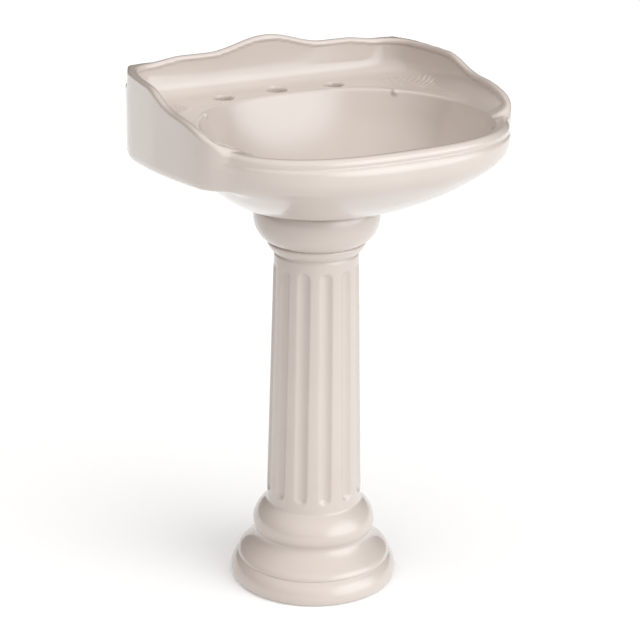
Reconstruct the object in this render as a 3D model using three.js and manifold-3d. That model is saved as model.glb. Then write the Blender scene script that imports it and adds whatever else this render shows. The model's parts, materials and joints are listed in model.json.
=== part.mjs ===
// Pedestal sink: a vitreous china basin on a fluted china pedestal, with its push drain and P-trap.
// Millimetres, +Z up. The wall is at y = WALL_Y, the basin's front faces -Y, the floor is z = 0.
import * as THREE from 'three';
import { mergeVertices } from 'three/addons/utils/BufferGeometryUtils.js';
import Module from 'manifold-3d';

const wasm = await Module();
wasm.setup();

// ---- driving dimensions ----
const GAP = 0.3;                 // clearance between touching pieces
const RIM_Z = 813;               // bowl rim and deck height above the floor
const CREST_Z = 897;             // top of the backsplash at the centre
const SHOULDER_Z = 877;          // backsplash between the crest and its corners
const CORNER_Z = 871;            // backsplash at its corners
const WING_HUMP_Z = 847;         // hump halfway along each side wing
const WALL_Y = 239;              // back face, against the wall
const AXIS_Y = 51;               // pedestal axis
const BOWL_Y = -42;              // centre of the bowl rim
const DRAIN_Y = 27;              // drain hole, behind the middle of the bowl
const SIDE_X = 277;              // widest point of the side wings
const BACK_X = 252;              // half-width at the wall
const BOX_FRONT_Y = -121;        // front end of the side panels
const BOX_BOTTOM_Z = 713;        // lower edge of the side panels at the wall
const BOX_RISE = 35;             // how far that edge climbs towards the front
const WALL_T = 14;               // thickness of the backsplash and wings
const SHELL_T = 14;              // thickness of the deck, side panels and back panel
const BOWL_A = 222;              // bowl opening: half-width
const BOWL_FRONT = 170;          // bowl opening: centre to front edge
const BOWL_BACK = 200;           // bowl opening: centre to back edge
const LIP = 19;                  // bowl wall and lip outside the opening
const APRON_OUT = 8;             // apron bulge below the lip groove
const BOWL_FLOOR_Z = 674;        // china around the drain
const NECK_Z = 660.3;            // underside of the basin, resting on the pedestal
const NECK_R = 103;              // radius of that seat
const HOLE_R = 16;               // faucet holes, 32 mm
const HOLE_SPREAD = 101.6;       // outer faucet holes, from the centre
const HOLE_Y = 183;              // outer faucet holes
const HOLE_SET_BACK = 9;         // the middle hole is set back by this much
const DRAIN_HOLE_R = 22.5;       // 45 mm drain hole
const ANCHOR_X = 150;            // wall anchor holes in the back panel
const ANCHOR_Z = 775;
const ANCHOR_R = 6.5;
const SHAFT_TOP_R = 69.6;        // column radius under the capital
const SHAFT_BOTTOM_R = 79.4;     // column radius above the base
const SHAFT_BOTTOM_Z = 145;
const SHAFT_TOP_Z = 573;
const PEDESTAL_TOP_Z = 660;
const PEDESTAL_T = 13;           // pedestal wall
const FLUTES = 12;
const FLUTE_R = 13;              // radius of each flute's section
const FLUTE_DEPTH = 5.5;
const FLUTE_Z = [155, 562];      // lower and upper ends of the flutes
const SLOT_HALF = 45;            // half-width of the service slot at the back of the column
const SLOT_Z = [46, 596];
const PIPE_R = 16;               // 32 mm tubular waste
const PIPE_T = 1.4;
const TRAP_BEND_R = 35;          // centreline radius of the U-bend
const TRAP_LOW_Z = 470;          // height of the U-bend's centre
const ARM_Z = 526;               // trap arm centreline
const JOINT_Z = 494;             // where the U-bend ends, under the trap arm
const ARM_BOTTOM_Z = 496.6;      // lower end of the trap arm
const ARM_END_Y = 152;           // where the trap arm ends, inside the service slot
const STOPPER_LIFT = 9;          // travel of the push stopper

// ---- materials ----
const colours = {
  china: { color: 0xe6dcd3, roughness: 0.12, metalness: 0 },
  chrome: { color: 0xc9ccd0, roughness: 0.15, metalness: 1 },
  brass: { color: 0xb89552, roughness: 0.35, metalness: 1 },
  rubber: { color: 0x26262a, roughness: 0.8, metalness: 0 },
  nylon: { color: 0xe9e6dc, roughness: 0.5, metalness: 0 },
  steel: { color: 0x9a9da2, roughness: 0.3, metalness: 1 },
};

// ---- solids ----
function solidOf(geometry) {
  const plain = geometry.index ? geometry.toNonIndexed() : geometry.clone();
  plain.deleteAttribute('normal');
  plain.deleteAttribute('uv');
  const merged = mergeVertices(plain, 1e-3);
  return new wasm.Manifold(new wasm.Mesh({
    numProp: 3,
    vertProperties: new Float32Array(merged.attributes.position.array),
    triVerts: new Uint32Array(merged.index.array),
  }));
}

function geometryOf(manifold) {
  const mesh = manifold.getMesh();
  const geometry = new THREE.BufferGeometry();
  const points = new Float32Array(mesh.vertProperties);
  geometry.setAttribute('position', new THREE.BufferAttribute(points, 3));
  geometry.setIndex(new THREE.BufferAttribute(new Uint32Array(mesh.triVerts), 1));
  geometry.computeVertexNormals();
  return geometry;
}

// A solid of revolution about the vertical line through (0, y). Points are [radius, z].
function turned(points, segments, y = 0) {
  const profile = points.map(([r, z]) => new THREE.Vector2(r, z));
  const geometry = new THREE.LatheGeometry(profile, segments);
  geometry.rotateX(Math.PI / 2);
  geometry.translate(0, y, 0);
  return facingOut(geometry);
}

// A hollow ring about the vertical line through (0, y): its section is a closed polygon.
function ring(points, segments, y = DRAIN_Y) {
  return turned([...points, points[0]], segments, y);
}

function signedVolume(geometry) {
  const flat = geometry.index ? geometry.toNonIndexed() : geometry;
  const p = flat.attributes.position;
  const a = new THREE.Vector3();
  const b = new THREE.Vector3();
  const c = new THREE.Vector3();
  let volume = 0;
  for (let i = 0; i < p.count; i += 3) {
    a.fromBufferAttribute(p, i);
    b.fromBufferAttribute(p, i + 1);
    c.fromBufferAttribute(p, i + 2);
    volume += a.dot(b.cross(c)) / 6;
  }
  return volume;
}

function facingOut(geometry) {
  if (signedVolume(geometry) > 0) return geometry;
  const flat = geometry.index ? geometry.toNonIndexed() : geometry;
  const p = flat.attributes.position.array;
  for (let i = 0; i < p.length; i += 9) {
    for (let k = 0; k < 3; k += 1) [p[i + 3 + k], p[i + 6 + k]] = [p[i + 6 + k], p[i + 3 + k]];
  }
  return flat;
}

function box(x0, x1, y0, y1, z0, z1) {
  const geometry = new THREE.BoxGeometry(x1 - x0, y1 - y0, z1 - z0);
  geometry.translate((x0 + x1) / 2, (y0 + y1) / 2, (z0 + z1) / 2);
  return solidOf(geometry);
}

function cylinderZ(r, z0, z1, x, y, segments = 24) {
  const geometry = new THREE.CylinderGeometry(r, r, z1 - z0, segments);
  geometry.rotateX(Math.PI / 2);
  geometry.translate(x, y, (z0 + z1) / 2);
  return solidOf(geometry);
}

function cylinderY(r, y0, y1, x, z, segments = 24) {
  const geometry = new THREE.CylinderGeometry(r, r, y1 - y0, segments);
  geometry.translate(x, (y0 + y1) / 2, z);
  return solidOf(geometry);
}

function shapeOf(points) {
  return new THREE.Shape(points.map(([u, v]) => new THREE.Vector2(u, v)));
}

// Prisms: an outline in plan, one seen from the front (x, z), and one seen from the side (y, z).
function prismZ(points, z0, z1) {
  const geometry = new THREE.ExtrudeGeometry(shapeOf(points), { depth: z1 - z0, bevelEnabled: false });
  geometry.translate(0, 0, z0);
  return geometry;
}

function prismY(points, y0, y1) {
  const geometry = new THREE.ExtrudeGeometry(shapeOf(points), { depth: y1 - y0, bevelEnabled: false });
  geometry.rotateX(Math.PI / 2);
  geometry.translate(0, y1, 0);
  return facingOut(geometry);
}

function prismX(points, x0, x1) {
  const geometry = new THREE.ExtrudeGeometry(shapeOf(points), { depth: x1 - x0, bevelEnabled: false });
  geometry.rotateX(Math.PI / 2);
  geometry.rotateZ(Math.PI / 2);
  geometry.translate(x0, 0, 0);
  return facingOut(geometry);
}

// ---- basin ----
const RIM_POWER_FRONT = 2.4;
const RIM_POWER_BACK = 2.2;

// Point on the bowl's rim curve at an angle, grown outwards by extra, and by half of it at the back.
function rimPoint(angle, extra) {
  const c = Math.cos(angle);
  const s = Math.sin(angle);
  const power = s > 0 ? RIM_POWER_BACK : RIM_POWER_FRONT;
  const reach = s > 0 ? BOWL_BACK + extra / 2 : BOWL_FRONT + extra;
  return [
    (BOWL_A + extra) * Math.sign(c) * Math.abs(c) ** (2 / power),
    BOWL_Y + reach * Math.sign(s) * Math.abs(s) ** (2 / power),
  ];
}

// A body whose sections change from a circle (t = 1) to the rim curve (t = 2). Points are [t, z, extra].
// At the back the sections leave the circle later, so the underside rises sooner there.
function bowlBody(profile, circleR, circleY, segments) {
  const points = profile.map(([t, z]) => new THREE.Vector2(t, z));
  const geometry = new THREE.LatheGeometry(points, segments);
  geometry.rotateX(Math.PI / 2);
  const p = geometry.attributes.position;
  for (let i = 0; i < p.count; i += 1) {
    const t = Math.hypot(p.getX(i), p.getY(i));
    const angle = Math.atan2(p.getY(i), p.getX(i));
    const extra = profile[i % profile.length][2];
    const blend = Math.max(t - 1, 0) ** (1 + 0.6 * Math.max(Math.sin(angle), 0));
    const r = circleR * Math.min(t, 1);
    const [rimX, rimY] = rimPoint(angle, extra);
    p.setX(i, (1 - blend) * r * Math.cos(angle) + blend * rimX);
    p.setY(i, (1 - blend) * (circleY + r * Math.sin(angle)) + blend * rimY);
  }
  return solidOf(facingOut(geometry));
}

const UNDERSIDE = [[1.28, 674], [1.5, 690], [1.69, 711], [1.84, 732], [1.95, 752], [2, 770]];
const HOLLOW = [[1.3, 679], [1.52, 692], [1.7, 713], [1.84, 738], [1.93, 766], [1.98, 795]];

function bowlOutside() {
  const bulge = LIP + APRON_OUT;
  return bowlBody([
    [0, NECK_Z, 0], [1, NECK_Z, 0],
    ...UNDERSIDE.map(([t, z]) => [t, z, bulge]),
    [2, RIM_Z - 20, bulge], [2, RIM_Z - 13, LIP - 2], [2, RIM_Z - 6, LIP], [2, RIM_Z, LIP - 6],
    [0, RIM_Z, 0],
  ], NECK_R, AXIS_Y, 60);
}

function bowlHollow() {
  return bowlBody([
    [0, BOWL_FLOOR_Z, 0], [1, BOWL_FLOOR_Z, 0],
    ...HOLLOW.map(([t, z]) => [t, z, 0]),
    [2, RIM_Z + 5, 0], [0, RIM_Z + 5, 0],
  ], 36, DRAIN_Y, 60);
}

// Plan outline of the side panels and the wall, inset all round by inset.
function boxPlan(inset, frontInset = inset) {
  const half = [
    [BACK_X, WALL_Y], [264, 195], [271, 140], [SIDE_X - 1, 85], [SIDE_X, 45], [SIDE_X, -15],
    [275, -55], [270, -88], [262, -108], [250, -118], [225, BOX_FRONT_Y],
  ].map(([x, y]) => [x - inset, y]);
  half[0][1] = WALL_Y - inset;
  half[half.length - 1][1] = BOX_FRONT_Y + frontInset;
  half[half.length - 2][1] = -118 + frontInset;
  return [...half, ...half.map(([x, y]) => [-x, y]).reverse()];
}

// Height of the backsplash's top edge at x.
function splashTop(x) {
  const a = Math.abs(x);
  const crest = (CREST_Z - SHOULDER_Z) * 0.5 * (1 + Math.cos(Math.PI * Math.min(a / 108, 1)));
  const corner = (SHOULDER_Z - CORNER_Z) * 0.5 * (1 - Math.cos(Math.PI * Math.min(Math.max((a - 150) / 60, 0), 1)));
  return SHOULDER_Z + crest - corner;
}

// Height of a wing's top edge at y: level, an S-curve down to the hump, then down to the rim.
function wingTop(y) {
  const ease = (from, to) => {
    const t = Math.min(Math.max((from - y) / (from - to), 0), 1);
    return 0.5 - 0.5 * Math.cos(Math.PI * t);
  };
  return CORNER_Z + 3 - (CORNER_Z + 3 - WING_HUMP_Z) * ease(115, 10)
    - (WING_HUMP_Z - RIM_Z) * ease(-20, -115);
}

function splashOutline() {
  const points = [];
  const steps = 36;
  for (let i = 0; i <= steps; i += 1) {
    const x = -300 + (600 * i) / steps;
    points.push([x, splashTop(x)]);
  }
  return [[-300, 600], ...points, [300, 600]].reverse();
}

function wingOutline() {
  const points = [];
  const steps = 26;
  for (let i = 0; i <= steps; i += 1) {
    const y = 150 + ((BOX_FRONT_Y - 10 - 150) * i) / steps;
    points.push([y, y > 140 ? CREST_Z + 20 : wingTop(y)]);
  }
  return [
    [WALL_Y + 10, BOX_BOTTOM_Z], [WALL_Y + 10, CREST_Z + 20], ...points,
    [BOX_FRONT_Y - 10, BOX_BOTTOM_Z + BOX_RISE],
  ];
}

// The space over the deck, inside the splash and wings; it widens a little upwards.
function overDeck() {
  const geometry = prismZ(boxPlan(0, -40), 0, 1);
  const p = geometry.attributes.position;
  for (let i = 0; i < p.count; i += 1) {
    const top = p.getZ(i) > 0.5;
    const inset = top ? WALL_T : WALL_T + 8;
    const sideInset = p.getY(i) < -100 ? 4 : inset;
    p.setX(i, p.getX(i) - Math.sign(p.getX(i)) * sideInset);
    if (p.getY(i) > WALL_Y - 1) p.setY(i, WALL_Y - (top ? WALL_T : WALL_T + 3));
    p.setZ(i, top ? CREST_Z + 30 : RIM_Z);
  }
  return solidOf(geometry);
}

function basin() {
  let body = solidOf(prismZ(boxPlan(0), BOX_BOTTOM_Z - 20, CREST_Z + 10));
  body = body.intersect(solidOf(prismX(wingOutline(), -300, 300)));
  body = body.intersect(solidOf(prismY(splashOutline(), -300, 300)));
  body = body.subtract(overDeck());
  body = body.subtract(solidOf(prismZ(boxPlan(SHELL_T), BOX_BOTTOM_Z - 60, RIM_Z - SHELL_T)));
  body = body.add(bowlOutside());
  body = body.subtract(bowlHollow());
  body = body.subtract(box(-105, 105, WALL_Y - SHELL_T - 5, WALL_Y + 5, BOX_BOTTOM_Z - 30, RIM_Z - 50));
  for (const side of [-1, 0, 1]) {
    const y = side === 0 ? HOLE_Y + HOLE_SET_BACK : HOLE_Y;
    body = body.subtract(cylinderZ(HOLE_R, RIM_Z - 40, RIM_Z + 10, side * HOLE_SPREAD, y));
    if (side === 0) continue;
    body = body.subtract(cylinderY(ANCHOR_R, WALL_Y - 30, WALL_Y + 5, side * ANCHOR_X, ANCHOR_Z, 16));
  }
  body = body.subtract(cylinderZ(DRAIN_HOLE_R, NECK_Z - 5, BOWL_FLOOR_Z + 5, 0, DRAIN_Y));
  return geometryOf(body);
}

// ---- pedestal ----
const BASE_PROFILE = [
  [132, 0], [138, 3], [140.5, 10], [139.5, 18], [136, 28], [131, 36], [127.5, 39.5], [129, 43],
  [124, 52], [118, 56], [109, 65], [102, 74], [97, 81], [97, 86], [100.5, 91], [102.4, 99],
  [101, 109], [96.6, 120], [89, 130], [82, 138], [SHAFT_BOTTOM_R, SHAFT_BOTTOM_Z],
];
const CAPITAL_PROFILE = [
  [SHAFT_TOP_R, SHAFT_TOP_Z], [67.8, 577], [72, 580.5], [77, 587], [80.5, 593.5], [78.3, 597],
  [84, 600], [92, 608], [98.5, 619], [102.3, 630], [103.2, 640], [102.4, 650], [99, PEDESTAL_TOP_Z],
];

function shaftR(z) {
  const t = (z - SHAFT_BOTTOM_Z) / (SHAFT_TOP_Z - SHAFT_BOTTOM_Z);
  return SHAFT_BOTTOM_R + (SHAFT_TOP_R - SHAFT_BOTTOM_R) * t;
}

function flute(index) {
  const [z0, z1] = FLUTE_Z;
  const length = z1 - z0 - 2 * FLUTE_R;
  const geometry = new THREE.CapsuleGeometry(FLUTE_R, length, 3, 10);
  geometry.rotateX(Math.PI / 2);
  const z = (z0 + z1) / 2;
  const lean = Math.atan((SHAFT_BOTTOM_R - SHAFT_TOP_R) / (SHAFT_TOP_Z - SHAFT_BOTTOM_Z));
  geometry.rotateY(-lean);
  geometry.translate(shaftR(z) + FLUTE_R - FLUTE_DEPTH, 0, z);
  geometry.rotateZ(((index + 0.5) * 2 * Math.PI) / FLUTES);
  geometry.translate(0, AXIS_Y, 0);
  return solidOf(geometry);
}

function pedestal() {
  const outside = [[0, 0], ...BASE_PROFILE, ...CAPITAL_PROFILE, [0, PEDESTAL_TOP_Z]];
  const inside = [
    [0, -5], [118, -5], [118, 20], [84, 62], [84, 110], [SHAFT_BOTTOM_R - PEDESTAL_T, 150],
    [SHAFT_TOP_R - PEDESTAL_T, 580], [66, 605], [84, 628], [85, PEDESTAL_TOP_Z + 5],
    [0, PEDESTAL_TOP_Z + 5],
  ];
  let body = solidOf(turned(outside, 48, AXIS_Y)).subtract(solidOf(turned(inside, 36, AXIS_Y)));
  for (let i = 0; i < FLUTES; i += 1) body = body.subtract(flute(i));
  const slot = box(-SLOT_HALF, SLOT_HALF, AXIS_Y + 12, AXIS_Y + 200, SLOT_Z[0], SLOT_Z[1]);
  return geometryOf(body.subtract(slot));
}

// ---- drain ----
const FLANGE_Z = BOWL_FLOOR_Z + 1.8;      // underside of the drain's flange, on its gasket
const DRAIN_BODY_LOW_Z = 600;
const DRAIN_BODY_R = 20;

function drainBody() {
  const wall = ring([
    [17.5, FLANGE_Z + 2.4], [19, FLANGE_Z + 3], [27, FLANGE_Z + 2.6], [31, FLANGE_Z + 1], [31, FLANGE_Z],
    [DRAIN_BODY_R, FLANGE_Z], [DRAIN_BODY_R, DRAIN_BODY_LOW_Z], [PIPE_R + GAP, DRAIN_BODY_LOW_Z],
    [PIPE_R + GAP, 622], [17.5, 624],
  ], 28);
  return geometryOf(solidOf(wall));
}

function washerRing(inner, outer, z0, z1, segments = 28, y = DRAIN_Y) {
  return ring([[inner, z0], [outer, z0], [outer, z1], [inner, z1]], segments, y);
}

function hexNut(inner, across, z0, z1, y, sides = 6) {
  const outline = [];
  for (let i = 0; i < sides; i += 1) {
    const angle = ((i + 0.5) * 2 * Math.PI) / sides;
    outline.push([across * Math.cos(angle), y + across * Math.sin(angle)]);
  }
  const nut = solidOf(prismZ(outline, z0, z1));
  return nut.subtract(cylinderZ(inner, z0 - 1, z1 + 1, 0, y, 28));
}

const STOPPER_LOW = FLANGE_Z + 3 + GAP + STOPPER_LIFT + 1.7;

function stopperCap() {
  const profile = [
    [0, -44], [3.6, -44], [3.6, 0], [22, 0], [23, 1.2], [22, 3], [14, 4.4], [0, 5],
  ];
  const raised = profile.map(([r, z]) => [r, z + STOPPER_LOW]);
  return geometryOf(solidOf(turned(raised, 32, DRAIN_Y)));
}

function stopperGuide() {
  let spider = solidOf(washerRing(15, 17.5 - GAP, 650, 656));
  spider = spider.add(box(-16, 16, DRAIN_Y - 1.5, DRAIN_Y + 1.5, 650.5, 655.5));
  spider = spider.add(box(-1.5, 1.5, DRAIN_Y - 16, DRAIN_Y + 16, 650.5, 655.5));
  spider = spider.add(cylinderZ(7, 634, 656, 0, DRAIN_Y, 20));
  return geometryOf(spider.subtract(cylinderZ(3.6 + GAP, 630, 660, 0, DRAIN_Y, 20)));
}

// A coil spring round the stopper's stem, from the guide to the cap.
class Coil extends THREE.Curve {
  getPoint(t, target = new THREE.Vector3()) {
    const turns = 7;
    const angle = t * turns * 2 * Math.PI;
    const low = 657.2;
    const high = STOPPER_LOW - 3;
    return target.set(5.6 * Math.cos(angle), DRAIN_Y + 5.6 * Math.sin(angle), low + (high - low) * t);
  }
}

function sweep(curve, outer, steps, inner = 0, sides = 12) {
  const circle = (r) => {
    const points = [];
    for (let i = 0; i < sides; i += 1) {
      const angle = (i * 2 * Math.PI) / sides;
      points.push(new THREE.Vector2(r * Math.cos(angle), r * Math.sin(angle)));
    }
    return points;
  };
  const shape = new THREE.Shape(circle(outer));
  if (inner > 0) shape.holes.push(new THREE.Path(circle(inner)));
  return facingOut(new THREE.ExtrudeGeometry(shape, { extrudePath: curve, steps, bevelEnabled: false }));
}

// ---- trap ----
const TAIL_LOW_Z = 492;
const RISER_Y = DRAIN_Y + 2 * TRAP_BEND_R;
const SOCKET_R = PIPE_R + 3;
const at = (y, z) => new THREE.Vector3(0, y, z);

function arcPoints(centreY, centreZ, radius, from, to, count) {
  const points = [];
  for (let i = 0; i <= count; i += 1) {
    const angle = from + ((to - from) * i) / count;
    points.push(at(centreY + radius * Math.cos(angle), centreZ + radius * Math.sin(angle)));
  }
  return points;
}

function jBend() {
  const bend = new THREE.CatmullRomCurve3([
    at(DRAIN_Y, TRAP_LOW_Z + 14),
    ...arcPoints(DRAIN_Y + TRAP_BEND_R, TRAP_LOW_Z, TRAP_BEND_R, Math.PI, 2 * Math.PI, 8),
    at(RISER_Y, TRAP_LOW_Z + 14),
  ]);
  let body = solidOf(sweep(bend, PIPE_R, 18));
  body = body.add(cylinderZ(SOCKET_R, 482, 508, 0, DRAIN_Y, 24));
  body = body.add(cylinderZ(SOCKET_R, 482, JOINT_Z, 0, RISER_Y, 24));
  body = body.subtract(solidOf(sweep(bend, PIPE_R - PIPE_T, 18)));
  body = body.subtract(cylinderZ(PIPE_R + GAP, 490, 510, 0, DRAIN_Y, 24));
  body = body.subtract(cylinderZ(PIPE_R - PIPE_T, 480, 490, 0, DRAIN_Y, 24));
  body = body.subtract(cylinderZ(PIPE_R - PIPE_T, 480, 500, 0, RISER_Y, 24));
  return geometryOf(body);
}

function trapArm() {
  const elbowR = 24;
  const run = new THREE.CatmullRomCurve3([
    at(RISER_Y, ARM_BOTTOM_Z),
    ...arcPoints(RISER_Y + elbowR, ARM_Z - elbowR, elbowR, Math.PI, Math.PI / 2, 5),
    at(RISER_Y + elbowR + 8, ARM_Z), at(RISER_Y + elbowR + 18, ARM_Z), at(ARM_END_Y, ARM_Z),
  ], false, 'centripetal');
  const collar = cylinderZ(SOCKET_R, ARM_BOTTOM_Z, ARM_BOTTOM_Z + 3.5, 0, RISER_Y, 24);
  const bore = solidOf(sweep(run, PIPE_R - PIPE_T, 20));
  return geometryOf(solidOf(sweep(run, PIPE_R, 20)).add(collar).subtract(bore));
}

function slipNut(y, z0, z1) {
  const nut = hexNut(PIPE_R + GAP, 25, z0, z1, y, 8);
  return geometryOf(nut.subtract(cylinderZ(SOCKET_R + GAP, z0 - 1, z1 - 3, 0, y, 28)));
}

// ---- assembly ----
const sink = new THREE.Group();

function place(name, geometry, look) {
  const mesh = new THREE.Mesh(geometry, new THREE.MeshStandardMaterial({ ...colours[look] }));
  mesh.name = name;
  sink.add(mesh);
}

place('basin', basin(), 'china');
place('pedestal', pedestal(), 'china');

place('drain_body', drainBody(), 'chrome');
place('drain_flange_gasket', washerRing(DRAIN_BODY_R + GAP, 30, BOWL_FLOOR_Z + GAP, FLANGE_Z - GAP), 'rubber');
place('drain_tapered_washer', ring([
  [DRAIN_BODY_R + GAP, 650], [33, 650], [33, 654], [29, NECK_Z - GAP], [DRAIN_BODY_R + GAP, NECK_Z - GAP],
], 28), 'rubber');
place('drain_friction_washer', washerRing(DRAIN_BODY_R + GAP, 32, 648, 650 - GAP), 'nylon');
place('drain_locknut', geometryOf(hexNut(DRAIN_BODY_R + GAP, 33, 638, 648 - GAP, DRAIN_Y)), 'brass');
place('stopper', stopperCap(), 'chrome');
place('stopper_seal', washerRing(12, 20, STOPPER_LOW - 1.4 - GAP, STOPPER_LOW - GAP), 'rubber');
place('stopper_guide', stopperGuide(), 'brass');
place('stopper_spring', geometryOf(solidOf(sweep(new Coil(), 0.8, 70, 0, 6))), 'steel');
place('tailpiece', washerRing(PIPE_R - PIPE_T, PIPE_R, TAIL_LOW_Z, 618, 24), 'chrome');

place('trap_inlet_nut', slipNut(DRAIN_Y, 497, 514), 'chrome');
place('trap_inlet_washer', ring([
  [PIPE_R + GAP, 508 + GAP], [SOCKET_R, 508 + GAP], [SOCKET_R, 511 - GAP], [PIPE_R + GAP, 511 - GAP],
], 24), 'rubber');
place('trap_j_bend', jBend(), 'chrome');
place('trap_union_nut', slipNut(RISER_Y, 486, 503.4), 'chrome');
place('trap_union_washer', washerRing(PIPE_R, SOCKET_R, JOINT_Z + GAP, ARM_BOTTOM_Z - GAP, 24, RISER_Y), 'rubber');
place('trap_arm', trapArm(), 'chrome');

export default sink;
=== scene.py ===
"""Looks of the pedestal sink: glazed china basin and fluted pedestal, push drain and P-trap."""
import json
import math
import bpy
import numpy as np
from mathutils import Matrix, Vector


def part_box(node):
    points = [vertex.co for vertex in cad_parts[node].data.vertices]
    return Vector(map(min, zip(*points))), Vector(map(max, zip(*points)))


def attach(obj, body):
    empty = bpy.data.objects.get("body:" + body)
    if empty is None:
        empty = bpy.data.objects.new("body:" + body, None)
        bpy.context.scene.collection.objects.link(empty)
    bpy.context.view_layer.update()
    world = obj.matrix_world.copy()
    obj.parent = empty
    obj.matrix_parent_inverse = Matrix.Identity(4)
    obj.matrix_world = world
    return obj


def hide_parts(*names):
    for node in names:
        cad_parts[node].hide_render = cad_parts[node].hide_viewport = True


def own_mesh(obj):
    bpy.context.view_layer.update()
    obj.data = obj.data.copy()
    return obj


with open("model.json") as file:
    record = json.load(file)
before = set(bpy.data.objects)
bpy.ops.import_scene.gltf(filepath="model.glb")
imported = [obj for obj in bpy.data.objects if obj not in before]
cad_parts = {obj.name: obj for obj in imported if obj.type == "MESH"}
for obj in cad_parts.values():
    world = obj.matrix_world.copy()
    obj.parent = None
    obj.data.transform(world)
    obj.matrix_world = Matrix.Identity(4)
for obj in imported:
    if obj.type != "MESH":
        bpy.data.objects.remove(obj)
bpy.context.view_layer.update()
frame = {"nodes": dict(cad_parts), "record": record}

# ---- sizes, in millimetres: x to the right, y towards the wall, z up from the floor ----
RIM_Z, CREST_Z, SHOULDER_Z, CORNER_Z = 813.0, 897.0, 877.0, 871.0
WALL_Y, AXIS_Y, DRAIN_Y = 239.0, 51.0, 27.0
FLOOR_Z, NECK_Z = 674.0, 660.3               # the bowl's floor, and the basin's foot
HOLES = [(0.0, 192.0), (101.6, 183.0)]       # faucet holes at x >= 0
HOLE_R, DRAIN_HOLE_R = 16.0, 22.5

# ---- fineness of the meshes ----
STEP = 3.6            # side of the basin mesh's squares
COLUMNS = 240         # columns round the pedestal
SLOT_COLUMNS = 24                            # of those, the ones across its slot


# ---- small maths ----
def smooth(a, b, x):
    """0 below a, 1 above b, with an S-curve between them."""
    t = np.clip((x - a) / (b - a), 0, 1)
    return t * t * (3 - 2 * t)


def smin(a, b, k):
    """Joins two shapes; the corner between them is filled over a width of k."""
    h = np.clip(0.5 + 0.5 * (b - a) / k, 0, 1)
    return b * (1 - h) + a * h - k * h * (1 - h)


def smax(a, b, k):
    """Keeps what two shapes share; the edge between them is rounded over a width of k."""
    return -smin(-a, -b, k)


def curve(points):
    """A smooth curve of value against place that doesn't overshoot its points."""
    xs, ys = np.array(points, float).T
    d = np.diff(ys) / np.diff(xs)
    m = np.concatenate([[d[0]], (d[:-1] + d[1:]) / 2, [d[-1]]])
    m[1:-1][d[:-1] * d[1:] <= 0] = 0
    for i, s in enumerate(d):
        if s == 0:
            m[i] = m[i + 1] = 0
        else:
            over = math.hypot(m[i] / s, m[i + 1] / s)
            if over > 3:
                m[i], m[i + 1] = 3 * m[i] / over, 3 * m[i + 1] / over

    def at(x):
        x = np.asarray(x, float)
        i = np.clip(np.searchsorted(xs, x) - 1, 0, len(d) - 1)
        w = xs[i + 1] - xs[i]
        t = (x - xs[i]) / w
        u = np.clip(t, 0, 1)
        y = ((1 + 2 * u) * (1 - u) ** 2 * ys[i] + u * (1 - u) ** 2 * w * m[i]
             + u * u * (3 - 2 * u) * ys[i + 1] + u * u * (u - 1) * w * m[i + 1])
        return y + (t - u) * w * np.where(t > 1, m[-1], m[0])

    return at


def rounded(points, steps=6):
    """Points along a Catmull-Rom curve through the given ones."""
    p = np.array(points, float)
    p = np.vstack([2 * p[0] - p[1], p, 2 * p[-1] - p[-2]])
    out = []
    for i in range(1, len(p) - 2):
        a, b, c, d = p[i - 1:i + 3]
        for t in np.arange(steps) / steps:
            out.append(0.5 * (2 * b + (c - a) * t + (2 * a - 5 * b + 4 * c - d) * t ** 2
                              + (3 * b - a - 3 * c + d) * t ** 3))
    return np.array(out + [p[-2]])


class Plan:
    """Signed distance in plan from a half outline, which runs from the back to the front."""

    X0, Y0, NX, NY = -8.0, -290.0, 320, 560      # corner and size of its grid of 1 mm squares

    def __init__(self, points):
        line = rounded(points)
        xs, ys = self.X0 + np.arange(self.NX), self.Y0 + np.arange(self.NY)
        x, y = np.meshgrid(xs, ys, indexing="ij")
        best = np.full(x.shape, 1e9)
        inside = np.zeros(x.shape, bool)
        closed = np.vstack([line, [[0, line[-1][1]]], [line[0]]])
        for i in range(len(closed) - 1):
            (ax, ay), (bx, by) = closed[i], closed[i + 1]
            if i < len(line) - 1:
                dx, dy = bx - ax, by - ay
                t = np.clip(((x - ax) * dx + (y - ay) * dy) / (dx ** 2 + dy ** 2), 0, 1)
                best = np.minimum(best, np.hypot(x - ax - t * dx, y - ay - t * dy))
            if ay != by:
                crossing = (bx - ax) * (y - ay) / (by - ay) + ax
                inside ^= ((ay > y) != (by > y)) & (np.abs(x) < crossing)
        self.map = np.where(inside, -best, best)

    def __call__(self, x, y):
        u = np.clip(np.abs(x) - self.X0, 0, self.NX - 1.001)
        v = np.clip(y - self.Y0, 0, self.NY - 1.001)
        i, j = u.astype(int), v.astype(int)
        u, v, m = u - i, v - j, self.map
        return ((m[i, j] * (1 - u) + m[i + 1, j] * u) * (1 - v)
                + (m[i, j + 1] * (1 - u) + m[i + 1, j + 1] * u) * v)


# ---- basin: outlines in plan of its block, of the deck, and of its walls' inner top edge ----
BLOCK_LINE = Plan([
    (0, 239), (120, 239), (238, 239), (249, 236), (254, 226), (264, 195), (271, 140), (276, 85),
    (277.5, 45), (277.5, -15), (276.5, -50), (274, -78), (267.5, -97), (258, -111), (246.5, -121.5),
    (232, -130), (206, -137), (0, -137),
])
DECK_LINE = Plan([
    (0, 222), (120, 222), (190, 220), (224, 209), (243, 189), (251, 160), (254, 127), (252, 74),
    (245, 12), (236, -54), (228, -100), (221, -165),
])
TOP_LINE = Plan([
    (0, 228), (120, 228), (195, 227), (228, 219), (247, 200), (256, 172), (262, 140), (266, 85),
    (267, 45), (267, -15), (265, -55), (261, -88), (255, -112), (247, -165),
])

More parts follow.
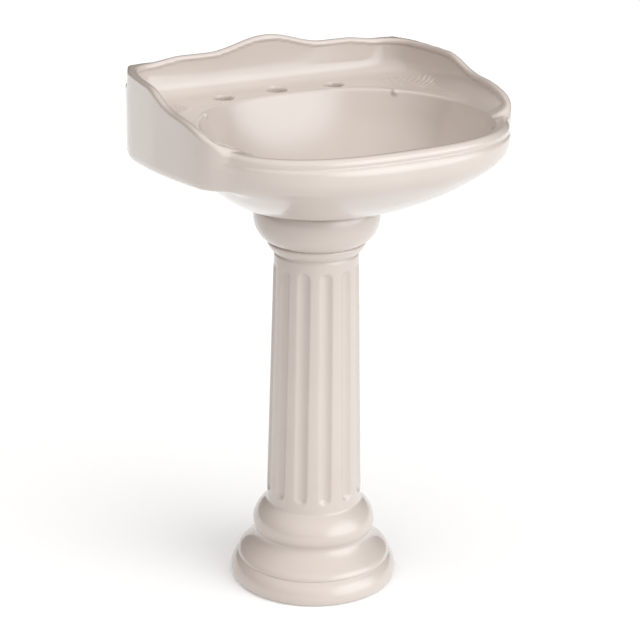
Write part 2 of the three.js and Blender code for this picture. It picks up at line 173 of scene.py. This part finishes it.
# sections of the bowl's outside and inside: z, half-width, front, back, centre and squareness
OUTSIDE = [
    (660, 103, -52, 154, 51, 2.0), (665, 112, -62, 155, 47, 2.0),
    (672, 130, -86, 156, 34, 2.03), (680, 151, -113, 157, 19, 2.09),
    (695, 176, -145.5, 160, 6, 2.17), (715, 202, -180.5, 164, -10, 2.28),
    (735, 223.5, -208, 167, -24, 2.36), (750, 238.5, -225.5, 170, -35, 2.4),
    (759, 246.5, -233.5, 171, -39, 2.42), (768, 251.5, -238, 171.5, -41, 2.46),
    (778, 254.5, -239.5, 171.5, -42, 2.5), (788, 255.5, -239, 171.5, -42, 2.55),
    (795, 255, -236.5, 170, -42, 2.6), (800.5, 254, -233, 168, -42, 2.6),
    (804, 253.5, -232.3, 166, -42, 2.6), (808, 251.5, -230, 164, -42, 2.6),
    (811.5, 247, -225.5, 160, -42, 2.6),
]
HOLLOW = [
    (674, 40, -14, 65, 26, 2.0), (679, 92, -70, 75, 6, 2.05),
    (692, 133, -115, 92, -9, 2.15), (713, 166, -151, 111, -21, 2.25),
    (738, 191, -180, 129, -31, 2.3), (766, 208, -198, 144, -37, 2.35),
    (795, 220, -210, 155, -41, 2.35), (806, 224, -213, 158.5, -42, 2.35),
    (822, 228.5, -215, 163.5, -42, 2.35),
]

# height of a wing's top edge against y: round up from the rim, a shelf, then up to the splash
WING_TOP = curve([
    (-130, 811.5), (-124, 812), (-119, 813.2), (-115, 816.5), (-109, 822.5), (-89, 832.5),
    (-69, 839), (-49, 843.5), (-29, 846.5), (-9, 848), (11, 849.5), (31, 853), (51, 859),
    (71, 866), (91, 871.5), (111, 874.5), (131, 875.5), (171, 877), (200, 885), (240, 905),
])
CREST_HALF = 108.0                            # the crest's reach to each side
CORNER_X, CORNER_RUN = 150.0, 60.0            # where the splash starts to fall to its corners

UNDER_Z, UNDER_RISE, UNDER_RUN = 716.0, 34.0, 360.0    # the block's underside, higher in front
CHINA_T = 14.0                                # thickness of the block's walls and of the deck
TUCK, TUCK_Z = 6.0, (750.0, 800.0)            # how far the block's front draws in below the rim
NOTCH, NOTCH_Z = 3.0, (839.0, 843.0)          # the step high in the block's back corners
BEAD, BEAD_DEPTH = 2.0, (6.5, 11.0)           # the bead along the walls' top, and where it ends

BODY_TOP = 811.5                              # the bowl's own top, under the lip's roll
LIP = (254.5, -233.0, 167.0, -42.0, 2.6)      # the roll's outer edge, as a section of the bowl
ROLL_R = 9.5
ROLL_ENDS = (-95.0, -45.0)                    # y over which the roll sinks into the deck
GROOVE_Z, GROOVE_DEPTH, GROOVE_WIDTH = 800.5, 1.1, 2.3

HINGE, KNOB, KNOB_Z, KNOB_R = (166.5, 95.0), (173.5, 104.3), 809.5, 4.7
RIB_HEIGHT, RIB_PITCH, RIB_START = 1.5, 7.5, 5.0       # mm, degrees, degrees
FAN_R, FAN_FALL, FAN_TURN = 98.0, 22.0, 40.0  # longest rib, the others' loss, its direction

WINDOW_HALF, WINDOW_TOP, WINDOW_Y = 105.0, 763.0, 220.0
ANCHOR_X, ANCHOR_Z, ANCHOR_R = 150.0, 775.0, 6.5
FAR = 1e3                                     # further than anything on the sink


def loft(table):
    """One curve against z for each column of a table of sections."""
    z = [row[0] for row in table]
    return [curve(list(zip(z, [row[i] for row in table]))) for i in range(1, 6)]


OUTSIDE_AT, HOLLOW_AT = loft(OUTSIDE), loft(HOLLOW)


def reach(half, front, back, centre, power, x, y, fuller=0.0):
    """Distance from a section's centre to (x, y), and from its centre to its edge that way."""
    v = y - centre
    r = np.hypot(x, v) + 1e-6
    c, s = np.maximum(np.abs(x), 1e-6) / r, v / r
    deep = np.where(s > 0, back - centre, centre - front)
    power = power + fuller * smooth(0, 0.5, -s)
    edge = ((c / half) ** power + (np.abs(s) / deep) ** power) ** (-1 / power)
    return r, edge


def lofted(at, x, y, z, fuller=0.0):
    """Roughly the distance outside a lofted body at (x, y, z); fuller squares its front."""
    r, edge = reach(*[a(z) for a in at], x, y, fuller)
    _, up = reach(*[a(z + 1.0) for a in at], x, y, fuller)
    _, down = reach(*[a(z - 1.0) for a in at], x, y, fuller)
    return (r - edge) / np.sqrt(1 + ((up - down) / 2) ** 2)


def splash_top(ax):
    """Height of the splash's top edge: a crest in the middle, and a fall to each corner."""
    crest = (CREST_Z - SHOULDER_Z) * 0.5 * (1 + np.cos(np.pi * np.minimum(ax / CREST_HALF, 1)))
    turn = np.clip((ax - CORNER_X) / CORNER_RUN, 0, 1)
    return SHOULDER_Z + crest - (SHOULDER_Z - CORNER_Z) * 0.5 * (1 - np.cos(np.pi * turn))


def block(x, y, z):
    """The deck with its splash and wings: a thick-walled block with an open space on top."""
    ax = np.abs(x)
    top_z = -smax(-splash_top(ax), -WING_TOP(y), 4)
    over = (z - top_z) * 0.9
    notch = NOTCH * smooth(*NOTCH_Z, z) * smooth(190, 232, y) * smooth(220, 250, ax)
    outline = BLOCK_LINE(x, y) + TUCK * (1 - smooth(*TUCK_Z, z)) * smooth(60, 112, -y)
    low = UNDER_Z + UNDER_RISE * (WALL_Y - y) / UNDER_RUN - z
    solid = smax(smax(outline + notch, over, 7), low, 22)
    # the space over the deck leans outward as it rises, and leaves the bead along its top
    rise = (z - RIM_Z) / np.clip(top_z - RIM_Z - 4, 16, 60)
    lean = 1 - (1 - np.clip(rise, 0, 1)) ** 2
    wall = DECK_LINE(x, y) * (1 - lean) + TOP_LINE(x, y) * lean
    bead = BEAD * (1 - smooth(*BEAD_DEPTH, top_z - z)) * smooth(2, 22, z - RIM_Z)
    solid = smax(solid, -smax(RIM_Z - z, wall + bead, 26), 6)
    # the hollow under the deck, open below
    side = outline + CHINA_T + 10 * smooth(0, 26, low + 26)
    return smax(solid, -np.maximum(side, z - (RIM_Z - CHINA_T)), 5)


def bowl_outside(x, y, z):
    """The bowl's body down to its foot, with a groove under the lip."""
    groove = GROOVE_DEPTH * np.exp(-((z - GROOVE_Z) / GROOVE_WIDTH) ** 2)
    body = lofted(OUTSIDE_AT, x, y, np.clip(z, 655, BODY_TOP)) + groove
    return smax(smax(body, NECK_Z - z, 3), z - BODY_TOP, 3)


def bowl_hollow(x, y, z):
    fuller = 0.45 * smooth(730, 800, z)
    return smax(lofted(HOLLOW_AT, x, y, np.maximum(z, FLOOR_Z), fuller), FLOOR_Z - z, 3)


def lip_roll(x, y, z):
    """The lip's roll follows the bowl's outside, and sinks away behind the wings' ends."""
    r, edge = reach(*LIP, x, y)
    return np.hypot(r - edge + ROLL_R, z - (RIM_Z - ROLL_R)) - ROLL_R + 16 * smooth(*ROLL_ENDS, y)


def shell(x, y, z):
    """Height of the fan of ribs in the deck's back corners."""
    u, v = np.abs(x) - HINGE[0], y - HINGE[1]
    r, turn = np.hypot(u, v), np.degrees(np.arctan2(v, u))
    rib = 0.5 + 0.5 * np.cos(np.radians(turn - RIB_START) * 360 / RIB_PITCH)
    outer = FAN_R - FAN_FALL * ((turn - FAN_TURN) / FAN_TURN) ** 2
    fan = smooth(40, 62, r) * (1 - smooth(outer - 4, outer + 3, r))
    fan = fan * smooth(0, 8, turn) * (1 - smooth(74, 82, turn)) * smooth(800, 808, z)
    return RIB_HEIGHT * fan * (rib - 0.25)


def basin(x, y, z):
    """Negative inside the basin's china."""
    ax = np.abs(x)
    china = smin(block(x, y, z), bowl_outside(x, y, z), 6 + 6 * smooth(0, 20, 806 - z))
    china = smin(smax(china, -bowl_hollow(x, y, z), 5), lip_roll(x, y, z), 2)
    knob = np.sqrt((ax - KNOB[0]) ** 2 + (y - KNOB[1]) ** 2 + (z - KNOB_Z) ** 2) - KNOB_R
    china = smin(china, knob, 4) - shell(x, y, z)
    for hx, hy in HOLES:
        hole = np.hypot(ax - hx, y - hy) - HOLE_R
        china = np.where(z > 780, smax(china, -hole, 3.5), china)
    drain = np.hypot(x, y - DRAIN_Y) - DRAIN_HOLE_R
    china = smax(china, np.where(z < 700, -drain, -FAR), 1.5)
    window = np.maximum(np.maximum(ax - WINDOW_HALF, z - WINDOW_TOP), WINDOW_Y - y)
    china = smax(china, -window, 3)
    anchor = np.where(y > 200, np.hypot(ax - ANCHOR_X, z - ANCHOR_Z) - ANCHOR_R, FAR)
    return smax(china, -anchor, 2)


# ---- meshes ----
def grid_of(field, low, high, step):
    """Field values on a grid, worked out for x >= 0 and mirrored."""
    xs = np.arange(0, high[0] + step, step)
    ys = np.arange(low[1], high[1] + step, step)
    zs = np.arange(low[2], high[2] + step, step)
    x, y = np.meshgrid(xs, ys, indexing="ij")
    half = np.stack([field(x, y, np.full(x.shape, z)) for z in zs], axis=2)
    return np.concatenate([half[:0:-1], half]), np.array([-xs[-1], ys[0], zs[0]])


def nets(values, origin, step):
    """Squares along the zero level of a grid of values: (points, quads)."""
    inside = values < 0
    corners = [(i, j, k) for i in (0, 1) for j in (0, 1) for k in (0, 1)]
    nx, ny, nz = [n - 1 for n in values.shape]
    count = sum(inside[i:i + nx, j:j + ny, k:k + nz].astype(np.int8) for i, j, k in corners)
    cells = np.argwhere((count > 0) & (count < 8))
    number = np.full((nx, ny, nz), -1)
    number[tuple(cells.T)] = np.arange(len(cells))
    # each cell's point is the mean of the places where its edges cross the level
    total, hits = np.zeros((len(cells), 3)), np.zeros(len(cells))
    for a in corners:
        for axis in range(3):
            if a[axis]:
                continue
            b = list(a)
            b[axis] = 1
            fa = values[tuple((cells + a).T)]
            fb = values[tuple((cells + b).T)]
            cross = (fa < 0) != (fb < 0)
            place = np.tile(np.array(a, float), (len(cells), 1))
            place[:, axis] = np.where(cross, fa / np.where(cross, fa - fb, 1), 0)
            total += place * cross[:, None]
            hits += cross
    points = (cells + total / hits[:, None]) * step + origin
    # each grid edge that crosses the level joins the four cells round it
    quads = []
    for axis in range(3):
        u, v = (axis + 1) % 3, (axis + 2) % 3
        ahead = np.moveaxis(inside, axis, 0)
        change = np.argwhere(np.moveaxis(ahead[:-1] != ahead[1:], 0, axis))
        low_in = inside[tuple(change.T)]
        keep = (change[:, u] > 0) & (change[:, v] > 0)
        keep &= (change[:, u] < values.shape[u] - 1) & (change[:, v] < values.shape[v] - 1)
        change, low_in = change[keep], low_in[keep]
        ring = []
        for du, dv in ((-1, -1), (0, -1), (0, 0), (-1, 0)):
            c = change.copy()
            c[:, u] += du
            c[:, v] += dv
            ring.append(number[tuple(c.T)])
        ring = np.stack(ring, axis=1)
        ring[~low_in] = ring[~low_in][:, ::-1]
        quads.append(ring)
    return points, np.concatenate(quads)


def slope(field, p, h=0.7):
    """The field's gradient at each point, from values h to each side."""
    g = np.empty_like(p)
    for axis in range(3):
        d = np.zeros(3)
        d[axis] = h
        g[:, axis] = (field(*(p + d).T) - field(*(p - d).T)) / (2 * h)
    return g


def settle(field, p, rounds=3):
    """Moves points on to the zero level; returns them with the surface's normals there."""
    for _ in range(rounds):
        g = slope(field, p)
        f = field(*p.T) / np.maximum((g ** 2).sum(1), 0.05)
        p = p - np.clip(f, -3, 3)[:, None] * g
    g = slope(field, p)
    return p, g / np.maximum(np.linalg.norm(g, axis=1), 1e-9)[:, None]


def relax(points, quads):
    """Moves each point half way to the middle of its neighbours."""
    total, count = np.zeros_like(points), np.zeros(len(points))
    for i in range(4):
        a, b = quads[:, i], quads[:, (i + 1) % 4]
        for here, there in ((a, b), (b, a)):
            count += np.bincount(here, minlength=len(points))
            for axis in range(3):
                total[:, axis] += np.bincount(here, points[there, axis], len(points))
    return 0.5 * (points + total / count[:, None])


def mesh_piece(name, points_mm, faces, normals=None):
    """A smooth-shaded object from points in millimetres and lists of corners."""
    mesh = bpy.data.meshes.new(name)
    mesh.from_pydata((np.asarray(points_mm) / 1000).tolist(), [], faces)
    mesh.polygons.foreach_set("use_smooth", np.ones(len(mesh.polygons), bool))
    mesh.update()
    if normals is not None:
        mesh.normals_split_custom_set_from_vertices(normals.tolist())
    piece = bpy.data.objects.new(name, mesh)
    bpy.context.scene.collection.objects.link(piece)
    return piece


def make_basin():
    values, origin = grid_of(basin, (0, -246, 655), (284, 244, 902), STEP)
    points, quads = nets(values, origin, STEP)
    for _ in range(2):
        points, _ = settle(basin, relax(points, quads), 1)
    points, normals = settle(basin, points)
    return mesh_piece("basin_china", points, quads.tolist(), normals)


# ---- pedestal: its mouldings as (radius, z), its inside, flutes and slot ----
BASE = [
    (130, 0), (134.5, 0.6), (137.6, 3.5), (140, 10), (139.6, 18), (136.6, 27), (132.5, 34),
    (128.6, 38.2), (127.4, 40), (128.4, 42), (127.6, 46), (124.4, 51), (118, 57), (109.5, 64.5),
    (102.5, 72), (98.4, 78.5), (97.2, 83), (98.2, 87.5), (100.6, 92), (102.4, 99), (102, 107),
    (99.4, 115.5), (94.2, 124.5), (87.6, 132.5), (81.6, 138.4), (79.8, 141.5), (79.5, 146),
]
CAPITAL = [
    (69.6, 570), (69.2, 575), (67.9, 577.6), (69.4, 579.2), (73.6, 582.6), (77.6, 587.4),
    (80.4, 593), (80.2, 596.6), (78.4, 597.8), (79.8, 599), (84.4, 601.4), (91.8, 607.6),
    (98.2, 617.6), (101.9, 628.5), (103.2, 639), (102.6, 649), (100.4, 656.5), (97, 659.6),
    (92, 660),
]
INSIDE = [
    (118, 0), (118, 20), (84, 62), (84, 110), (66.5, 150), (56.6, 580), (66, 605), (84, 628),
    (86, 660),
]
(SHAFT_LOW_R, SHAFT_LOW), (SHAFT_HIGH_R, SHAFT_HIGH) = BASE[-1], CAPITAL[0]
FLUTES, FLUTE_R, FLUTE_DEPTH, FLUTE_LOW, FLUTE_HIGH = 12, 13.0, 5.5, 155.0, 562.0
SLOT_HALF, SLOT_LOW, SLOT_HIGH = 45.0, 46.0, 596.0


def flute_depth(angle, radius, z):
    """How far the flutes are cut in at an angle round the column."""
    pitch = 2 * np.pi / FLUTES
    off = (angle / pitch) % 1 - 0.5
    across = radius * np.sin(off * pitch)
    along = np.maximum(np.maximum(FLUTE_LOW + FLUTE_R - z, z - FLUTE_HIGH + FLUTE_R), 0)
    d = np.sqrt(np.maximum(FLUTE_R ** 2 - across ** 2 - along ** 2, 0)) - (FLUTE_R - FLUTE_DEPTH)
    return 0.5 * (d + np.sqrt(d * d + 0.5))


def pedestal_rows():
    """(radius, z) of each row of the outside, closer together where the flutes end."""
    taper = (SHAFT_LOW_R - SHAFT_HIGH_R) / (SHAFT_HIGH - SHAFT_LOW)
    shaft = [(SHAFT_LOW_R - taper * (z - SHAFT_LOW), z) for z in
             [*np.arange(150, 172, 1.6), *np.linspace(175, 540, 14), *np.arange(545, 569, 1.6)]]
    return np.vstack([rounded(BASE, 3), shaft, rounded(CAPITAL, 4)])


def make_pedestal():
    """Two skins of rows and columns, joined at top and foot and round the slot in the back."""
    rows = pedestal_rows()
    n, m, slot = len(rows), COLUMNS, SLOT_COLUMNS
    inner_r = curve([(z, r) for r, z in INSIDE])
    column = np.arange(m)
    points = []
    for inside in (False, True):
        for r, z in rows:
            radius = inner_r(z) if inside else r
            # the first columns, up to number slot, span the slot; the others go round the front
            edge = math.asin(min(SLOT_HALF / radius, 0.95))
            across = -edge + 2 * edge * column / slot
            around = edge + (2 * math.pi - 2 * edge) * (column - slot) / (m - slot)
            angle = np.pi / 2 + np.where(column <= slot, across, around)
            if not inside and SHAFT_LOW < z < SHAFT_HIGH:
                radius = radius - flute_depth(angle, radius, z)
            points.append(np.stack([radius * np.cos(angle), AXIS_Y + radius * np.sin(angle),
                                    np.full(m, z)], axis=1))

    def outer(i, j):
        return i * m + j % m

    def inner(i, j):
        return n * m + outer(i, j)

    low = next(i for i, (_, z) in enumerate(rows) if z >= SLOT_LOW)
    high = max(i for i, (_, z) in enumerate(rows) if z <= SLOT_HIGH)
    faces = []
    for i in range(n - 1):
        for j in range(slot if low <= i < high else 0, m):
            faces.append((outer(i, j), outer(i, j + 1), outer(i + 1, j + 1), outer(i + 1, j)))
            faces.append((inner(i, j), inner(i + 1, j), inner(i + 1, j + 1), inner(i, j + 1)))

    def ledge(i, j, up):
        """Joins the skins along row i; up for a face that looks up."""
        face = (outer(i, j), outer(i, j + 1), inner(i, j + 1), inner(i, j))
        faces.append(face if up else (face[0], face[3], face[2], face[1]))

    for j in range(m):
        ledge(0, j, False)
        ledge(n - 1, j, True)
    for j in range(slot):
        ledge(low, j, True)
        ledge(high, j, False)
    for i in range(low, high):
        faces.append((outer(i, 0), outer(i + 1, 0), inner(i + 1, 0), inner(i, 0)))
        faces.append((outer(i, slot), inner(i, slot), inner(i + 1, slot), outer(i + 1, slot)))
    return mesh_piece("pedestal_china", np.concatenate(points), faces)


# ---- stopper spring ----
SPRING_TURNS, TURN_STEPS, WIRE_R, WIRE_SIDES = 7, 28, 0.8, 12


def make_spring(low, high):
    """A compression spring that fills the box from low to high, with its end turns wound close."""
    span = high[2] - low[2] - 2 * WIRE_R
    close = 2.1 * WIRE_R
    t = np.linspace(0, SPRING_TURNS, SPRING_TURNS * TURN_STEPS + 1)
    rise = curve([(0, 0), (1, close), (SPRING_TURNS - 1, span - close), (SPRING_TURNS, span)])
    out = np.stack([np.cos(2 * np.pi * t), np.sin(2 * np.pi * t), 0 * t], axis=1)
    up = np.array([0, 0, 1.0])
    middle = (low + high) / 2 * (1, 1, 0)
    coil_r = (high[0] - low[0]) / 2 - WIRE_R
    line = middle + coil_r * out + (low[2] + WIRE_R + rise(t))[:, None] * up
    around = 2 * np.pi * np.arange(WIRE_SIDES)[None, :, None] / WIRE_SIDES
    rings = line[:, None] + WIRE_R * (np.cos(around) * out[:, None] + np.sin(around) * up)
    m, last = WIRE_SIDES, (len(t) - 1) * WIRE_SIDES
    faces = [(i + j, i + m + j, i + m + (j + 1) % m, i + (j + 1) % m)
             for i in range(0, last, m) for j in range(m)]
    faces += [tuple(range(m)), tuple(last + j for j in reversed(range(m)))]
    return mesh_piece("spring_coil", rings.reshape(-1, 3), faces)


# ---- materials ----
def material(name, base, roughness, **sockets):
    """A Principled material; sockets are named with _ for each space."""
    mat = bpy.data.materials.new(name)
    mat.use_nodes = True
    shader = mat.node_tree.nodes["Principled BSDF"]
    shader.inputs["Base Color"].default_value = (*base, 1)
    shader.inputs["Roughness"].default_value = roughness
    for key, value in sockets.items():
        shader.inputs[key.replace("_", " ")].default_value = value
    return mat, mat.node_tree, shader


def link(tree, a, out, b, socket):
    tree.links.new(a.outputs[out], b.inputs[socket])


def noise(tree, scale, detail=3.0, rough=0.5):
    place = tree.nodes.new("ShaderNodeTexCoord")
    node = tree.nodes.new("ShaderNodeTexNoise")
    node.inputs["Scale"].default_value = scale
    node.inputs["Detail"].default_value = detail
    node.inputs["Roughness"].default_value = rough
    link(tree, place, "Object", node, "Vector")
    return node


def ramp(tree, source, stops, shader, into):
    """Turns source into a colour between two stops, for the shader's socket."""
    node = tree.nodes.new("ShaderNodeValToRGB")
    for e, (at, colour) in zip(node.color_ramp.elements, stops):
        e.position = at
        e.color = (*colour, 1)
    link(tree, source, 0, node, 0)
    link(tree, node, "Color", shader, into)


def bump(tree, shader, source, distance, strength, into="Normal"):
    node = tree.nodes.new("ShaderNodeBump")
    node.inputs["Distance"].default_value = distance
    node.inputs["Strength"].default_value = strength
    link(tree, source, 0, node, "Height")
    link(tree, node, "Normal", shader, into)


def china():
    """Warm china under a clear glaze that is slightly wavy."""
    mat, tree, shader = material("china", (0.52, 0.455, 0.41), 0.3, Specular_IOR_Level=0.3,
                                 Coat_Weight=0.85, Coat_Roughness=0.08, Coat_IOR=1.5)
    stops = [(0.3, (0.51, 0.445, 0.405)), (0.7, (0.53, 0.465, 0.425))]
    ramp(tree, noise(tree, 7.0, 4.0, 0.55), stops, shader, "Base Color")
    bump(tree, shader, noise(tree, 16.0, 2.0, 0.4), 0.0002, 0.2, "Coat Normal")
    bump(tree, shader, noise(tree, 30.0, 1.0, 0.4), 0.00003, 0.2)
    return mat


def metal(name, base, roughness, grain, depth):
    mat, tree, shader = material(name, base, roughness, Metallic=1.0)
    stops = [(0.3, (roughness * 0.8,) * 3), (0.75, (roughness * 1.5,) * 3)]
    ramp(tree, noise(tree, grain, 4.0, 0.6), stops, shader, "Roughness")
    bump(tree, shader, noise(tree, grain * 2.5, 2.0), depth, 0.4)
    return mat


def soft(name, dark, light, roughness, grain):
    mat, tree, shader = material(name, light, roughness)
    ramp(tree, noise(tree, grain, 4.0, 0.6), [(0.35, dark), (0.7, light)], shader, "Base Color")
    bump(tree, shader, noise(tree, grain * 3, 3.0), 0.0002, 0.5)
    return mat


LOOKS = {
    "china": china(),
    "chrome": metal("chrome", (0.78, 0.79, 0.81), 0.09, 90.0, 0.00005),
    "brass": metal("brass", (0.68, 0.50, 0.24), 0.34, 260.0, 0.0001),
    "steel": metal("steel", (0.58, 0.59, 0.61), 0.25, 300.0, 0.0001),
    "rubber": soft("rubber", (0.018, 0.018, 0.02), (0.035, 0.035, 0.038), 0.75, 220.0),
    "nylon": soft("nylon", (0.74, 0.72, 0.66), (0.82, 0.80, 0.75), 0.45, 120.0),
}

# ---- the pieces ----
spring_low, spring_high = (np.array(corner) * 1000 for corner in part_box("stopper_spring"))
MADE = {
    "basin": (make_basin(), "china"),
    "pedestal": (make_pedestal(), "china"),
    "stopper_spring": (make_spring(spring_low, spring_high), "steel"),
}
for node, (piece, look) in MADE.items():
    piece.data.materials.append(LOOKS[look])
    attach(piece, "sink")
    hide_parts(node)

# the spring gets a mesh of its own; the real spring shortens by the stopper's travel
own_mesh(MADE["stopper_spring"][0])

for part in frame["record"]["subparts"]:
    if part["node"] not in MADE:
        node = frame["nodes"][part["node"]]
        node.data.materials.clear()
        node.data.materials.append(LOOKS[part["material_slot"]])

# ---- floor, light, camera ----
FLOOR_RINGS, FLOOR_SIDES = [0.6, 1.5, 4.0, 12.0], 64    # radii in metres

# the soft light: where from, the cosines where it starts and is full, dim and bright, colour
FIELDS = [((-0.25, -0.33, 0.92), 0.2, 0.95, 0.02, 1.6, (1.0, 0.985, 0.97)),
          ((0.5, -0.85, 0.15), 0.72, 0.98, 0.0, 3.5, (0.93, 0.98, 1.0))]

# metres, radians, and the lens in millimetres
CAMERA_PLACE = (-1.5477, -2.7532, 1.6359)
CAMERA_YAW, CAMERA_DOWN, CAMERA_ROLL, CAMERA_LENS = 0.50652, 0.35296, 0.01219, 116.82


def stage_floor():
    """A wide pale disc at z = 0."""
    sides = FLOOR_SIDES
    angles = np.arange(sides) * 2 * math.pi / sides
    points, faces = [(0, 0, 0)], []
    for r in FLOOR_RINGS:
        points += [(r * math.cos(a), r * math.sin(a), 0) for a in angles]
    for j in range(sides):
        k = (j + 1) % sides
        faces.append((0, 1 + j, 1 + k))
        for a in range(1, 1 + (len(FLOOR_RINGS) - 1) * sides, sides):
            faces.append((a + j, a + sides + j, a + sides + k, a + k))
    mesh = bpy.data.meshes.new("floor")
    mesh.from_pydata(points, [], faces)
    floor = bpy.data.objects.new("floor", mesh)
    bpy.context.scene.collection.objects.link(floor)
    mat, tree, shader = material("floor", (0.93, 0.93, 0.93), 0.8, Emission_Strength=0.07,
                                 Emission_Color=(1, 1, 1, 1))
    bump(tree, shader, noise(tree, 60.0), 0.0002, 0.2)
    mesh.materials.append(mat)


def set_light():
    """A world of two soft fields of light, with no lamps."""
    bpy.context.scene.view_settings.view_transform = "Standard"
    world = bpy.data.worlds.new("studio")
    bpy.context.scene.world = world
    world.use_nodes = True
    tree = world.node_tree
    tree.nodes.clear()
    place = tree.nodes.new("ShaderNodeTexCoord")
    both = tree.nodes.new("ShaderNodeAddShader")
    for slot, (toward, low, high, dim, bright, colour) in enumerate(FIELDS):
        dot = tree.nodes.new("ShaderNodeVectorMath")
        dot.operation = "DOT_PRODUCT"
        dot.inputs[1].default_value = np.array(toward) / np.linalg.norm(toward)
        link(tree, place, "Generated", dot, 0)
        spread = tree.nodes.new("ShaderNodeMapRange")
        spread.interpolation_type = "SMOOTHSTEP"
        limits = {"From Min": low, "From Max": high, "To Min": dim, "To Max": bright}
        for key, value in limits.items():
            spread.inputs[key].default_value = value
        link(tree, dot, "Value", spread, "Value")
        field = tree.nodes.new("ShaderNodeBackground")
        field.inputs["Color"].default_value = (*colour, 1)
        link(tree, spread, 0, field, "Strength")
        link(tree, field, 0, both, slot)
    link(tree, both, 0, tree.nodes.new("ShaderNodeOutputWorld"), "Surface")


def set_camera():
    cy, sy = math.cos(CAMERA_YAW), math.sin(CAMERA_YAW)
    cp, sp = math.cos(CAMERA_DOWN), math.sin(CAMERA_DOWN)
    ahead = np.array([sy * cp, cy * cp, -sp])
    right = np.array([cy, -sy, 0.0])
    up = np.cross(right, ahead)
    cr, sr = math.cos(CAMERA_ROLL), math.sin(CAMERA_ROLL)
    x, y = cr * right + sr * up, -sr * right + cr * up
    camera = bpy.data.objects.new("camera", bpy.data.cameras.new("camera"))
    camera.data.sensor_fit = "HORIZONTAL"
    camera.data.sensor_width, camera.data.lens = 36.0, CAMERA_LENS
    camera.data.clip_start, camera.data.clip_end = 0.05, 60.0
    turn = Matrix(np.array([x, y, -ahead]).T.tolist()).to_4x4()
    camera.matrix_world = Matrix.Translation(CAMERA_PLACE) @ turn
    bpy.context.scene.collection.objects.link(camera)
    bpy.context.scene.camera = camera


stage_floor()
set_light()
set_camera()
